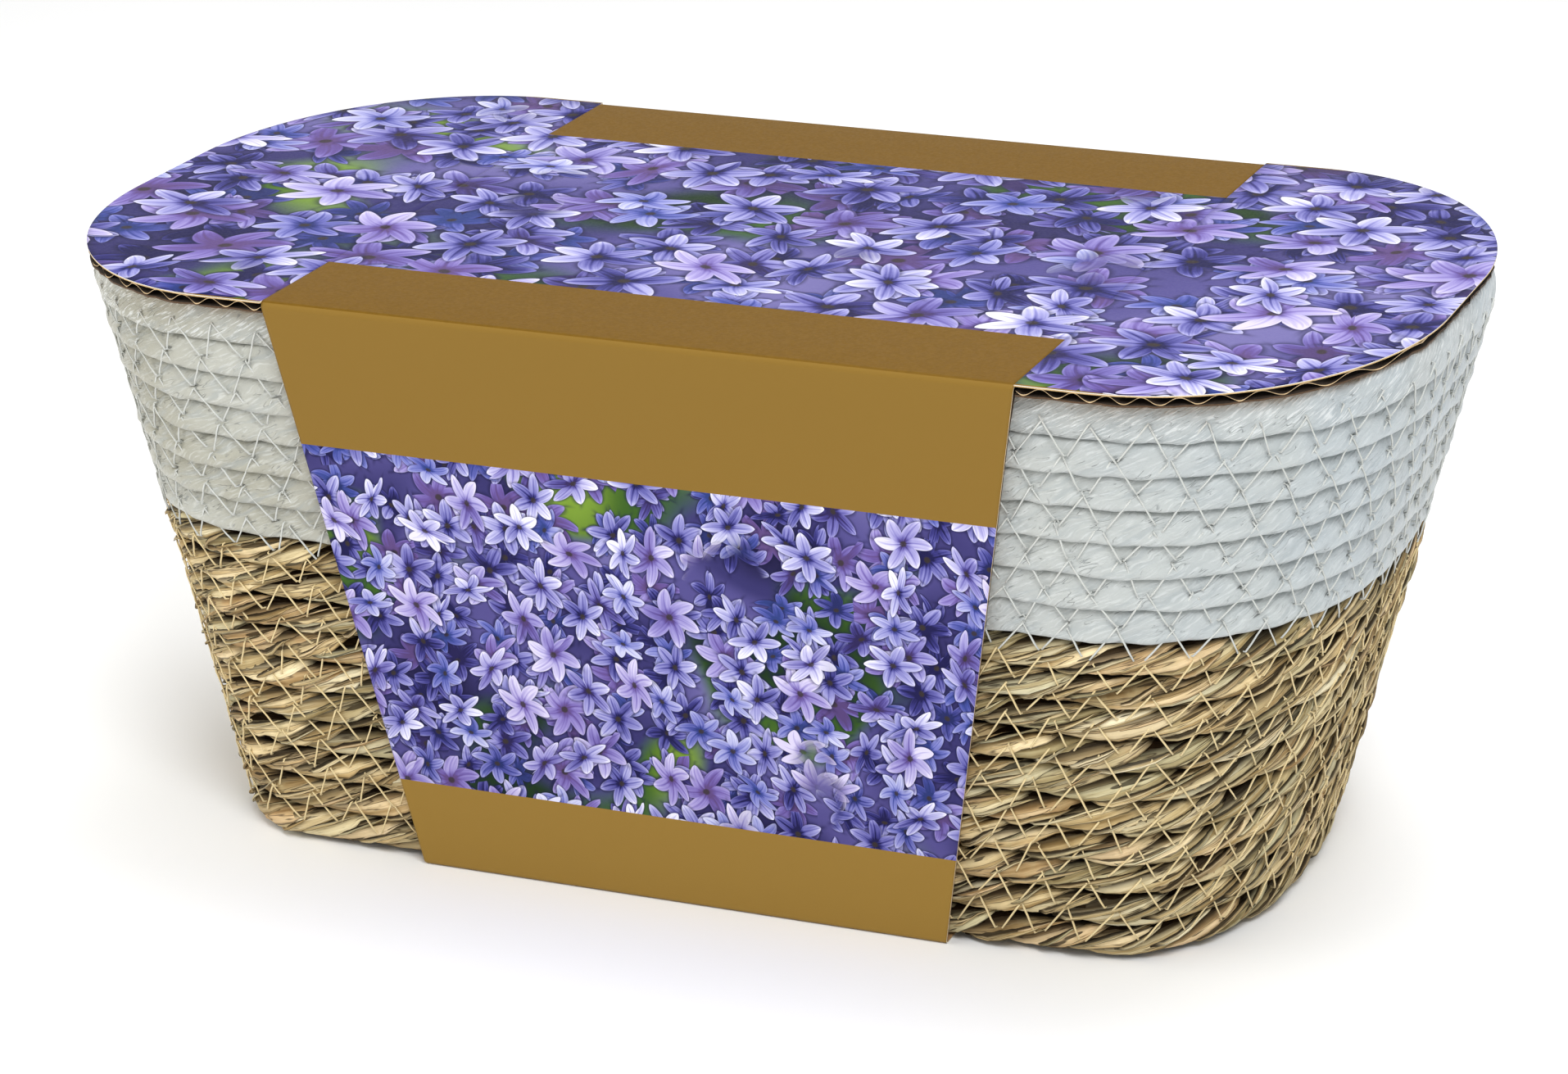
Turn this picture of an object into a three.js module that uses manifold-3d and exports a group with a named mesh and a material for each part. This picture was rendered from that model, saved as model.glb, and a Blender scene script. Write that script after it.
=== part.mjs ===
// Boxed indoor bulb basket: an oval basket sewn from coiled rope, natural below and white above,
// closed by one printed piece of corrugated card that is its lid, its two side panels and the strip
// under it. Inside lie a planting liner, a bed of compost and three bulbs.
// Millimetres, +Z up. The origin is the middle of the underside; +X runs along the basket's length
// and -Y is the front.
import * as THREE from 'three';
import { mergeVertices } from 'three/addons/utils/BufferGeometryUtils.js';
import Module from 'manifold-3d';

const wasm = await Module();
wasm.setup();

// Card: the lid's outline, the board and the panels that fold down from it
const LID_HALF_LENGTH = 143.2;
const LID_HALF_DEPTH = 84;
const LID_CORNER = { x: 52.2, y: 69.6 };
const HEIGHT = 126;
const BOARD = 2.5;
const STRIP = 1;
const PANEL_HALF_TOP = 78.3;
const PANEL_HALF_FOOT = 57.5;
const PANEL_FOOT_Y = 62;
const FOLD_RADIUS = 3;
const FOOT_FOLD_RADIUS = 1.2;
const FOLD_STEPS = 4;
const LID_CURVE_STEPS = 14;

// Corrugation of the board, open along the lid's cut edge
const FLUTE_PITCH = 6.4;
const LINER_SHEET = 0.4;
const MEDIUM_SHEET = 0.36;
const MEDIUM_BITE = 0.06;
const FLUTE_STEPS = 7;

// Clearance between pieces that touch
const GAP = 0.3;

// Basket: half sizes and corner half axes of the rope's outer face, at the floor and at the rim
const FLOOR_Z = STRIP + GAP;
const RIM_Z = HEIGHT - BOARD - GAP;
const WALL_SLOPE = (LID_HALF_DEPTH - PANEL_FOOT_Y) / HEIGHT;
const PLAN_FOOT = { a: 114.6, b: wallDepth(0), rx: 28, ry: 56 };
const PLAN_RIM = { a: 144.4, b: wallDepth(RIM_Z), rx: 55, ry: 66 };

// Rope rows
const ROPE = 6.6;
const ROW_VALLEY = 1.5;
const NATURAL_ROWS = 10;
const WHITE_ROWS = 7;
const RIM_ROW_HEIGHT = 8.4;
const ROW_HEIGHT = (RIM_Z - FLOOR_Z - RIM_ROW_HEIGHT) / (NATURAL_ROWS + WHITE_ROWS - 1);
const COLOUR_Z = FLOOR_Z + NATURAL_ROWS * ROW_HEIGHT;
const BASE_ROWS = 6;

// Columns of points round the basket: a twisted rope shows one lobe for every two outer columns
const OUTER_COLUMNS = 64;
const INNER_COLUMNS = 32;
// The stretch each side of the middle that the card hides, and the share of columns it gets
const COVERED_LENGTH = 50;
const COVERED_SHARE = 1 / 8;
const LOBE_DEPTH = 0.9;
const LOBE_LEAN = 0.55;
const LOBE_DRIFT = 0.5;
const CRINKLE_DEPTH = 0.45;
// Where a row's two shoulders lie in its height, and which way each turns for the lean
const ROW_SHOULDERS = [[0.26, -1], [0.74, 1]];
// The rim row is a fuller rope, rounded over the top: part of its height, and depth inwards
const RIM_ROUNDING = 2.2;
const RIM_PROFILE = [[0.22, 0], [0.72, 0.1], [1, RIM_ROUNDING]];

// Contents
const FILM = 0.4;
const LINER_DEPTH = ROPE + 1.5 * GAP;
const LINER_TOP_Z = 116;
const COMPOST_Z = 62;
const COMPOST_LUMP = 1.6;
const COMPOST_TOP_RINGS = [0.86, 0.66, 0.44, 0.2];
const BULB_SPACING = 66;
const BULB_OFFSETS = [-6, 4, -3];
const BULB_Z = 38;
const BULB_SIDES = 20;
const BULB_RIDGE = 0.5;
const BULB_PROFILE = [
  [9, 0], [12, 1.5], [20, 6], [26, 14], [27.5, 22], [25.5, 31], [20, 39.5],
  [13, 46], [8, 50.5], [5.5, 54.5], [2.8, 58],
];

const MATERIALS = {
  card: new THREE.MeshStandardMaterial({ color: 0x9b7c3d, roughness: 0.45, metalness: 0.1 }),
  natural: new THREE.MeshStandardMaterial({ color: 0xae9065, roughness: 0.8, metalness: 0 }),
  white: new THREE.MeshStandardMaterial({ color: 0xe3e5e4, roughness: 0.5, metalness: 0 }),
  liner: new THREE.MeshStandardMaterial({ color: 0x23241f, roughness: 0.35, metalness: 0 }),
  compost: new THREE.MeshStandardMaterial({ color: 0x3b2a1f, roughness: 0.95, metalness: 0 }),
  bulb: new THREE.MeshStandardMaterial({ color: 0x6e3c5c, roughness: 0.5, metalness: 0 }),
};

// How far the rope's outer face lies from the middle plane, just inside the sloping card panel
function wallDepth(z) {
  const slant = Math.hypot(1, WALL_SLOPE);
  const panelOuter = LID_HALF_DEPTH - WALL_SLOPE * (HEIGHT - z);
  return panelOuter - (BOARD + GAP) * slant;
}

function mix(from, to, t) {
  return from + (to - from) * t;
}

// Repeatable random numbers from 0 to 1
function makeRandom(seed) {
  let state = seed;
  return () => {
    state = (state * 1664525 + 1013904223) % 4294967296;
    return state / 4294967296;
  };
}

// Plan of the basket's outer face at a height
function planAt(z) {
  const t = z / RIM_Z;
  return {
    a: mix(PLAN_FOOT.a, PLAN_RIM.a, t),
    b: mix(PLAN_FOOT.b, PLAN_RIM.b, t),
    rx: mix(PLAN_FOOT.rx, PLAN_RIM.rx, t),
    ry: mix(PLAN_FOOT.ry, PLAN_RIM.ry, t),
  };
}

function insetPlan(plan, inset) {
  return { a: plan.a - inset, b: plan.b - inset, rx: plan.rx - inset, ry: plan.ry - inset };
}

// One quarter of a plan as a path of even speed, from the middle of the long side to the middle of
// the short side
function quarterPath(plan) {
  const turnX = plan.a - plan.rx;
  const turnY = plan.b - plan.ry;
  const path = new THREE.CurvePath();
  path.add(new THREE.LineCurve(new THREE.Vector2(0, plan.b), new THREE.Vector2(turnX, plan.b)));
  path.add(new THREE.EllipseCurve(turnX, turnY, plan.rx, plan.ry, Math.PI / 2, 0, true));
  path.add(new THREE.LineCurve(new THREE.Vector2(plan.a, turnY), new THREE.Vector2(plan.a, 0)));
  return path;
}

// Crowds the columns into the part of the quarter that shows
function spread(v, covered) {
  if (v < COVERED_SHARE) {
    return (v / COVERED_SHARE) * covered;
  }
  return mix(covered, 1, (v - COVERED_SHARE) / (1 - COVERED_SHARE));
}

// A closed ring of points round a plan, anticlockwise from above, starting at the middle of the
// front; phase turns it by a part of a column and inset(i) moves each point inwards
function ringAt(plan, z, columns, phase = 0, inset = () => 0) {
  const path = quarterPath(plan);
  const covered = Math.min(0.3, COVERED_LENGTH / path.getLength());
  const quarters = [[1, -1, false], [1, 1, true], [-1, 1, false], [-1, -1, true]];
  const ring = [];
  for (let i = 0; i < columns; i++) {
    const u = ((((i + phase) / columns) % 1) + 1) % 1;
    const quarter = Math.min(3, Math.floor(u * 4));
    const [signX, signY, back] = quarters[quarter];
    const v = u * 4 - quarter;
    const at = spread(back ? 1 - v : v, covered);
    const point = path.getPointAt(at);
    const along = path.getTangentAt(at);
    const depth = inset(i);
    const x = signX * (point.x + along.y * depth);
    const y = signY * (point.y - along.x * depth);
    ring.push([x, y, typeof z === 'function' ? z(i) : z]);
  }
  return ring;
}

// Triangles between two neighbouring rings; one of them may have twice the other's columns
function joinRings(triangles, lower, upper, low, high) {
  const n = Math.min(lower, upper);
  for (let i = 0; i < n; i++) {
    const next = (i + 1) % n;
    if (lower === upper) {
      triangles.push([low + i, low + next, high + next], [low + i, high + next, high + i]);
    } else if (upper > lower) {
      const first = high + 2 * i;
      const last = high + 2 * next;
      triangles.push([low + i, low + next, first + 1], [low + i, first + 1, first]);
      triangles.push([low + next, last, first + 1]);
    } else {
      const first = low + 2 * i;
      const last = low + 2 * next;
      triangles.push([first, first + 1, high + i], [first + 1, high + next, high + i]);
      triangles.push([first + 1, last, high + next]);
    }
  }
}

// A closed solid through a run of rings: either its two ends are closed by fans, or it closes on itself
function solidFromRings(rings, closesOnItself = false) {
  const points = rings.flat();
  const starts = [];
  let count = 0;
  for (const ring of rings) {
    starts.push(count);
    count += ring.length;
  }
  const triangles = [];
  const last = rings.length - 1;
  for (let j = 0; j < last; j++) {
    joinRings(triangles, rings[j].length, rings[j + 1].length, starts[j], starts[j + 1]);
  }
  const addFan = (ring, start, isLast) => {
    const middle = points.length;
    points.push([0, 1, 2].map((k) => ring.reduce((sum, p) => sum + p[k], 0) / ring.length));
    for (let i = 0; i < ring.length; i++) {
      const here = start + i;
      const next = start + ((i + 1) % ring.length);
      triangles.push(isLast ? [here, next, middle] : [next, here, middle]);
    }
  };
  if (closesOnItself) {
    joinRings(triangles, rings[last].length, rings[0].length, starts[last], starts[0]);
  } else {
    addFan(rings[0], starts[0], false);
    addFan(rings[last], starts[last], true);
  }
  const geometry = new THREE.BufferGeometry();
  geometry.setAttribute('position', new THREE.Float32BufferAttribute(points.flat(), 3));
  geometry.setIndex(triangles.flat());
  return geometry;
}

// three.js geometry to a manifold solid and back
function toSolid(geometry) {
  const plain = geometry.clone();
  plain.deleteAttribute('normal');
  plain.deleteAttribute('uv');
  const merged = mergeVertices(plain, 1e-4);
  const mesh = new wasm.Mesh({
    numProp: 3,
    vertProperties: new Float32Array(merged.attributes.position.array),
    triVerts: new Uint32Array(merged.index.array),
  });
  return new wasm.Manifold(mesh);
}

function toGeometry(solid) {
  const mesh = solid.getMesh();
  const geometry = new THREE.BufferGeometry();
  geometry.setAttribute('position', new THREE.Float32BufferAttribute(mesh.vertProperties, 3));
  geometry.setIndex(Array.from(mesh.triVerts));
  return geometry;
}

function named(name, geometry, material) {
  geometry.computeVertexNormals();
  const mesh = new THREE.Mesh(geometry, material);
  mesh.name = name;
  return mesh;
}

// Rope rows, as rings from one height to another. Each row is a valley and two shoulders; on the
// outside every second column of a shoulder is a crevice between two lobes of the twist, and the
// upper shoulder is turned on from the lower one, so that the lobes lean.
function outerRows(bottomZ, rows, rowHeight, relief) {
  const rings = [];
  for (let row = 0; row < rows; row++) {
    const low = bottomZ + row * rowHeight;
    const swap = row % 2;
    const drift = relief.drift * (relief.random() - 0.5);
    for (const [part, side] of ROW_SHOULDERS) {
      const z = low + part * rowHeight;
      const inset = (i) => ((i + swap) % 2) * relief.lobe + relief.random() * relief.crinkle;
      rings.push(ringAt(planAt(z), z, OUTER_COLUMNS, side * relief.lean + drift, inset));
    }
    const top = low + rowHeight;
    rings.push(ringAt(planAt(top), top, OUTER_COLUMNS, 0, () => ROW_VALLEY));
  }
  return rings;
}

// A ring inside the basket, a set depth in from the rope's outer face
function innerRing(z, depth) {
  return ringAt(planAt(z), z, INNER_COLUMNS, 0, () => depth);
}

// The same rows seen from inside the basket, from the top down
function innerRows(topZ, rows, rowHeight) {
  const rings = [];
  for (let row = 0; row < rows; row++) {
    const crest = topZ - (row + 0.5) * rowHeight;
    rings.push(innerRing(crest, ROPE));
    const valley = topZ - (row + 1) * rowHeight;
    rings.push(innerRing(valley, ROPE - ROW_VALLEY));
  }
  return rings;
}

// Underside of the basket: rope coiled outwards from a line along its middle
function baseRows() {
  const edge = insetPlan(planAt(FLOOR_Z), ROW_VALLEY + 1);
  const line = edge.a - edge.b;
  const rings = [];
  for (let k = 1; k < 2 * BASE_ROWS; k++) {
    const t = k / (2 * BASE_ROWS);
    const plan = { a: mix(line, edge.a, t), b: edge.b * t, rx: edge.rx * t, ry: edge.ry * t };
    const z = k % 2 ? FLOOR_Z : FLOOR_Z + ROW_VALLEY;
    rings.push(ringAt(plan, z, INNER_COLUMNS));
  }
  rings.push(ringAt(edge, FLOOR_Z, OUTER_COLUMNS));
  return rings;
}

function naturalRope() {
  const relief = { lobe: LOBE_DEPTH, crinkle: 0, lean: LOBE_LEAN, drift: LOBE_DRIFT, random: makeRandom(7) };
  const floorTop = FLOOR_Z + ROPE;
  const rings = baseRows();
  rings.push(...outerRows(FLOOR_Z, NATURAL_ROWS, ROW_HEIGHT, relief));
  rings.push(innerRing(COLOUR_Z, ROPE - ROW_VALLEY));
  rings.push(...innerRows(COLOUR_Z, NATURAL_ROWS - 1, ROW_HEIGHT));
  rings.push(innerRing(floorTop, ROPE));
  return solidFromRings(rings);
}

function whiteRope() {
  const relief = { lobe: 0, crinkle: CRINKLE_DEPTH, lean: 0, drift: 0, random: makeRandom(11) };
  const rimFoot = RIM_Z - RIM_ROW_HEIGHT;
  const rings = [ringAt(planAt(COLOUR_Z), COLOUR_Z, OUTER_COLUMNS, 0, () => ROW_VALLEY)];
  rings.push(...outerRows(COLOUR_Z, WHITE_ROWS - 1, ROW_HEIGHT, relief));
  for (const [part, inset] of RIM_PROFILE) {
    const z = rimFoot + part * RIM_ROW_HEIGHT;
    rings.push(ringAt(planAt(z), z, OUTER_COLUMNS, 0, () => inset));
  }
  rings.push(innerRing(RIM_Z, ROPE - RIM_ROUNDING));
  rings.push(...innerRows(RIM_Z, 1, RIM_ROW_HEIGHT));
  rings.push(...innerRows(rimFoot, WHITE_ROWS - 1, ROW_HEIGHT));
  return solidFromRings(rings, true);
}

// Thin film that lines the basket from its floor to just under the rim
function plantingLiner() {
  const floor = FLOOR_Z + ROPE + GAP;
  const levels = [1, 2, 3, 4, 5].map((k) => mix(floor, LINER_TOP_Z, k / 5));
  const outside = [floor, ...levels].map((z) => innerRing(z, LINER_DEPTH));
  const inside = [floor + FILM, ...levels].map((z) => innerRing(z, LINER_DEPTH + FILM));
  return solidFromRings([...outside, ...inside.reverse()]);
}

// A bulb standing on its basal plate: tunic with low upright ridges, narrowing to a nose.
// grow makes it larger all over, for the socket that it leaves in the compost.
function bulbForm(grow, ridge) {
  const rings = BULB_PROFILE.map(([radius, z], level) => {
    const ring = [];
    for (let i = 0; i < BULB_SIDES; i++) {
      const angle = (2 * Math.PI * i) / BULB_SIDES;
      const rib = level > 1 && i % 2 ? ridge : 0;
      const r = radius + grow - rib;
      ring.push([r * Math.cos(angle), r * Math.sin(angle), z - (level ? 0 : grow)]);
    }
    return ring;
  });
  return solidFromRings(rings);
}

function bulbPlaces() {
  return BULB_OFFSETS.map((y, i) => new THREE.Vector3((i - 1) * BULB_SPACING, y, BULB_Z));
}

// Bed of compost inside the liner, with a lumpy top and a socket round each bulb
function compostBed() {
  const random = makeRandom(23);
  const inset = LINER_DEPTH + FILM + 2.5 * GAP;
  const floor = FLOOR_Z + ROPE + FILM + 2 * GAP;
  const rings = [0, 0.4, 0.8, 1].map((t) => innerRing(mix(floor, COMPOST_Z, t), inset));
  const edge = insetPlan(planAt(COMPOST_Z), inset);
  for (const t of COMPOST_TOP_RINGS) {
    const plan = { a: mix(edge.a - edge.b, edge.a, t), b: edge.b * t, rx: edge.rx * t, ry: edge.ry * t };
    const top = () => COMPOST_Z + COMPOST_LUMP * random();
    rings.push(ringAt(plan, top, INNER_COLUMNS));
  }
  let bed = toSolid(solidFromRings(rings));
  for (const place of bulbPlaces()) {
    const socket = bulbForm(GAP, 0).translate(place.x, place.y, place.z);
    bed = bed.subtract(toSolid(socket));
  }
  return toGeometry(bed);
}

// Lid outline, seen from above
function lidShape() {
  const [a, b] = [LID_HALF_LENGTH, LID_HALF_DEPTH];
  const { x: rx, y: ry } = LID_CORNER;
  const shape = new THREE.Shape();
  shape.moveTo(a - rx, -b);
  shape.absellipse(a - rx, -b + ry, rx, ry, -Math.PI / 2, 0, false);
  shape.absellipse(a - rx, b - ry, rx, ry, 0, Math.PI / 2, false);
  shape.absellipse(-a + rx, b - ry, rx, ry, Math.PI / 2, Math.PI, false);
  shape.absellipse(-a + rx, -b + ry, rx, ry, Math.PI, 1.5 * Math.PI, false);
  shape.closePath();
  return shape;
}

// Section across the card, front to back: lid, two leaning panels and the strip under the basket
function beltShape() {
  const slant = Math.hypot(1, WALL_SLOPE);
  const innerTop = { y: wallDepth(HEIGHT - BOARD) + GAP * slant, z: HEIGHT - BOARD };
  const innerFoot = { y: wallDepth(STRIP) + GAP * slant, z: STRIP };
  const shape = new THREE.Shape();
  const corners = [
    [-LID_HALF_DEPTH, HEIGHT, FOLD_RADIUS], [-PANEL_FOOT_Y, 0, FOOT_FOLD_RADIUS],
    [PANEL_FOOT_Y, 0, FOOT_FOLD_RADIUS], [LID_HALF_DEPTH, HEIGHT, FOLD_RADIUS],
  ];
  corners.forEach(([y, z, radius], i) => {
    const corner = new THREE.Vector2(y, z);
    const before = corners[(i + 3) % 4];
    const after = corners[(i + 1) % 4];
    const arrive = new THREE.Vector2(before[0] - y, before[1] - z).setLength(radius).add(corner);
    const leave = new THREE.Vector2(after[0] - y, after[1] - z).setLength(radius).add(corner);
    if (i === 0) {
      shape.moveTo(arrive.x, arrive.y);
    } else {
      shape.lineTo(arrive.x, arrive.y);
    }
    shape.quadraticCurveTo(corner.x, corner.y, leave.x, leave.y);
  });
  shape.closePath();
  const inside = new THREE.Path();
  inside.moveTo(-innerTop.y, innerTop.z);
  inside.lineTo(innerTop.y, innerTop.z);
  inside.lineTo(innerFoot.y, innerFoot.z);
  inside.lineTo(-innerFoot.y, innerFoot.z);
  inside.closePath();
  shape.holes.push(inside);
  return shape;
}

// Turns an extrusion's own axes so that its depth runs along X, or along Y
function depthAlongX(geometry) {
  const turn = new THREE.Matrix4().makeBasis(
    new THREE.Vector3(0, 1, 0), new THREE.Vector3(0, 0, 1), new THREE.Vector3(1, 0, 0));
  return geometry.applyMatrix4(turn);
}

function depthAlongY(geometry) {
  return geometry.rotateX(Math.PI / 2);
}

function extrudeFromMiddle(shape, depth, curveSegments = 1) {
  const geometry = new THREE.ExtrudeGeometry(shape, { depth, curveSegments, bevelEnabled: false });
  return geometry.translate(0, 0, -depth / 2);
}

// Side view of the folded card's outline: full width at the lid, tapering down the panels
function taperShape() {
  const under = HEIGHT - BOARD;
  const points = [
    [-PANEL_HALF_FOOT, -1], [PANEL_HALF_FOOT, -1], [PANEL_HALF_TOP, under],
    [PANEL_HALF_TOP, HEIGHT + 1], [-PANEL_HALF_TOP, HEIGHT + 1], [-PANEL_HALF_TOP, under],
  ];
  return new THREE.Shape(points.map(([x, z]) => new THREE.Vector2(x, z)));
}

// The open channel of one flute, above the wavy medium (side 1) or below it (side -1), between the
// two places where the medium sinks into the sheet on that side
function fluteShape(start, side) {
  const swing = BOARD / 2 - LINER_SHEET - MEDIUM_SHEET / 2 + MEDIUM_BITE;
  const edge = Math.acos(1 - MEDIUM_BITE / swing);
  const points = [];
  for (let i = 0; i <= FLUTE_STEPS; i++) {
    const angle = mix(edge, 2 * Math.PI - edge, i / FLUTE_STEPS);
    const x = start + (FLUTE_PITCH * angle) / (2 * Math.PI);
    const z = HEIGHT - BOARD / 2 + side * (swing * Math.cos(angle) + MEDIUM_SHEET / 2);
    points.push(new THREE.Vector2(x, z));
  }
  return new THREE.Shape(points);
}

// The card: a belt round the basket, front to back, with the lid's two fluted ends joined to it
function cardWrap() {
  const pastLid = 2 * LID_HALF_DEPTH + 10;
  const plate = extrudeFromMiddle(lidShape(), BOARD, LID_CURVE_STEPS);
  const middle = new THREE.BoxGeometry(2 * PANEL_HALF_TOP, pastLid, 2 * BOARD);
  let ends = toSolid(plate).subtract(toSolid(middle)).translate([0, 0, HEIGHT - BOARD / 2]);
  const flutes = Math.floor((LID_HALF_LENGTH - PANEL_HALF_TOP) / FLUTE_PITCH);
  for (let k = 0; k < flutes; k++) {
    for (const side of [1, -1]) {
      const start = PANEL_HALF_TOP + (k + (side > 0 ? 0 : 0.5)) * FLUTE_PITCH;
      const channel = toSolid(depthAlongY(extrudeFromMiddle(fluteShape(start, side), pastLid)));
      ends = ends.subtract(channel).subtract(channel.mirror([1, 0, 0]));
    }
  }
  const belt = toSolid(depthAlongX(extrudeFromMiddle(beltShape(), 2 * PANEL_HALF_TOP, FOLD_STEPS)));
  const taper = toSolid(depthAlongY(extrudeFromMiddle(taperShape(), pastLid)));
  return toGeometry(belt.intersect(taper).add(ends));
}

const basket = new THREE.Group();
basket.add(named('basket_natural_rope', naturalRope(), MATERIALS.natural));
basket.add(named('basket_white_rope', whiteRope(), MATERIALS.white));

const contents = new THREE.Group();
contents.add(named('planting_liner', plantingLiner(), MATERIALS.liner));
contents.add(named('compost_bed', compostBed(), MATERIALS.compost));
['left', 'middle', 'right'].forEach((side, i) => {
  const bulb = named(`bulb_${side}`, bulbForm(0, BULB_RIDGE), MATERIALS.bulb);
  bulb.position.copy(bulbPlaces()[i]);
  contents.add(bulb);
});

const part = new THREE.Group();
part.add(named('card_wrap', cardWrap(), MATERIALS.card), basket, contents);

export default part;
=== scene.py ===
"""Looks of the boxed indoor bulb basket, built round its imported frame.

Lengths in this script are millimetres until a mesh is made. +Z is up and -Y is the front.
"""
import math

import bpy
import numpy as np
from mathutils import Matrix, Vector


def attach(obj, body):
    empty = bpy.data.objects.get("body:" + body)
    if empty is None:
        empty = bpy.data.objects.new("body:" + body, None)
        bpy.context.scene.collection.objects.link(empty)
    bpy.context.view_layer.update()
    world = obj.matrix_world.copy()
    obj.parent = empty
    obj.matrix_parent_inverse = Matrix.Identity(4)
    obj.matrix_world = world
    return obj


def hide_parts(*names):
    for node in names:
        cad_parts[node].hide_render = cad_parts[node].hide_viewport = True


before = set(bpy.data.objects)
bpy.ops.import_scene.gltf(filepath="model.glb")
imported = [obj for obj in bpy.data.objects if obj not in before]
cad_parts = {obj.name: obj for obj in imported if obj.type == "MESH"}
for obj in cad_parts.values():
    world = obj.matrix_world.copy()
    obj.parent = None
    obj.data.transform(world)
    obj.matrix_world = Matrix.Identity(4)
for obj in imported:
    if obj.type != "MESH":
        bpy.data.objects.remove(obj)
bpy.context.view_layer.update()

MM = 0.001

# Card, as in the part's source
LID_HALF_LENGTH, LID_HALF_DEPTH, LID_CORNER = 143.2, 84.0, (52.2, 69.6)
HEIGHT, BOARD, STRIP = 126.0, 2.5, 1.0
PANEL_HALF_TOP, PANEL_HALF_FOOT, PANEL_FOOT_Y = 78.3, 57.5, 62.0
FOLD_RADIUS, FOOT_FOLD_RADIUS = 1.3, 1.2
FLUTE_PITCH = 6.4
GAP = 0.3

# Basket, as in the part's source
FLOOR_Z = STRIP + GAP
RIM_Z = HEIGHT - BOARD - GAP
WALL_SLOPE = (LID_HALF_DEPTH - PANEL_FOOT_Y) / HEIGHT
SLANT = math.hypot(1, WALL_SLOPE)
ROPE, ROPE_RADIUS = 6.6, 3.5
NATURAL_ROWS, WHITE_ROWS = 10, 7
RIM_ROW_HEIGHT = 8.4
ROW_HEIGHT = (RIM_Z - FLOOR_Z - RIM_ROW_HEIGHT) / (NATURAL_ROWS + WHITE_ROWS - 1)
COLOUR_Z = FLOOR_Z + NATURAL_ROWS * ROW_HEIGHT

random = np.random.default_rng(41)


def wall_depth(z):
    """How far the rope's outer face lies from the middle plane."""
    return LID_HALF_DEPTH - WALL_SLOPE * (HEIGHT - z) - (BOARD + GAP) * SLANT


PLAN_FOOT = (114.6, wall_depth(0), 28.0, 56.0)
PLAN_RIM = (144.4, wall_depth(RIM_Z), 55.0, 66.0)


def mix(low, high, t):
    """The value at part t of the way from low to high."""
    return low + (high - low) * t


def smooth(low, high, x):
    """From 0 to 1 as x goes from low to high, level at both ends."""
    t = np.clip((x - low) / (high - low), 0, 1)
    return t * t * (3 - 2 * t)


# Plans: rounded rectangles with elliptical corners, by arc length


def quarter(plan, steps):
    """Points and normals at even steps from the middle of the long side to the middle of the short side."""
    a, b, rx, ry = plan
    turn = np.linspace(0, math.pi / 2, 300)
    run = np.linspace(0, 1, 60)
    x = np.concatenate([(a - rx) * run[:-1], a - rx + rx * np.sin(turn), np.full(59, a)])
    y = np.concatenate([np.full(59, b), b - ry + ry * np.cos(turn), (b - ry) * (1 - run[1:])])
    length = np.concatenate([[0], np.cumsum(np.hypot(np.diff(x), np.diff(y)))])
    even = np.linspace(0, length[-1], steps + 1)
    x, y = np.interp(even, length, x), np.interp(even, length, y)
    nx = np.clip((x - (a - rx)) / rx, 0, 1) / rx
    ny = np.clip((y - (b - ry)) / ry, 0, 1) / ry
    size = np.hypot(nx, ny)
    return np.stack([x, y, nx / size, ny / size]), length[-1]


def ring_table(plan, steps=400):
    """x, y and outward normal all the way round, anticlockwise from the middle of the front."""
    (x, y, nx, ny), length = quarter(plan, steps)
    back = slice(-2, 0, -1)
    return np.stack([
        np.concatenate([x, x[back], -x, -x[back]]),
        np.concatenate([-y, y[back], y, -y[back]]),
        np.concatenate([nx, nx[back], -nx, -nx[back]]),
        np.concatenate([-ny, ny[back], ny, -ny[back]]),
    ]), 4 * length


def lookup(table, u):
    """Values of a ring table at parts u of the way round."""
    count = table.shape[1]
    at = np.mod(u, 1) * count
    low = np.floor(at).astype(int)
    t = at - low
    return table[:, low % count] * (1 - t) + table[:, (low + 1) % count] * t


class Rope:
    """One turn of rope: its centre line, which side of it shows, and its half sizes."""

    def __init__(self, plan, centre_z, half_depth, half_height, underside=False):
        self.table, self.length = ring_table(plan)
        self.z = centre_z
        self.half_depth, self.half_height = half_depth, half_height
        self.underside = underside

    def at(self, s, angle, grow, lift=0.0, bend=0.0):
        """Point at distance s along and angle round, from the side that shows; grow scales the radius."""
        x, y, nx, ny = lookup(self.table, s / self.length)
        out = self.half_depth * np.cos(angle) * grow + bend
        up = self.half_height * np.sin(angle) * grow + lift
        if self.underside:
            return np.stack([x + nx * up, y + ny * up, self.z - out], -1)
        return np.stack([x + nx * out, y + ny * out, self.z + up], -1)


def wall_rope(low, height, spare=0.12):
    """A row of the basket's wall; spare makes it overlap its neighbours."""
    centre = low + height / 2
    t = centre / RIM_Z
    plan = [mix(foot, rim, t) - ROPE / 2 for foot, rim in zip(PLAN_FOOT, PLAN_RIM)]
    return Rope(plan, centre, ROPE / 2, height / 2 + spare)


def squared(angle, power):
    """How far a rounded square reaches out at an angle, against a circle."""
    return (np.abs(np.cos(angle)) ** power + np.abs(np.sin(angle)) ** power) ** (-1 / power)


# Repeatable smooth noise


def lattice(seed, i, j):
    h = (i * 374761393 + j * 668265263 + seed * 974634777) & 0xFFFFFFFF
    h = ((h ^ (h >> 13)) * 1274126177) & 0xFFFFFFFF
    return ((h ^ (h >> 16)) & 0xFFFF) / 32767.5 - 1


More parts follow.
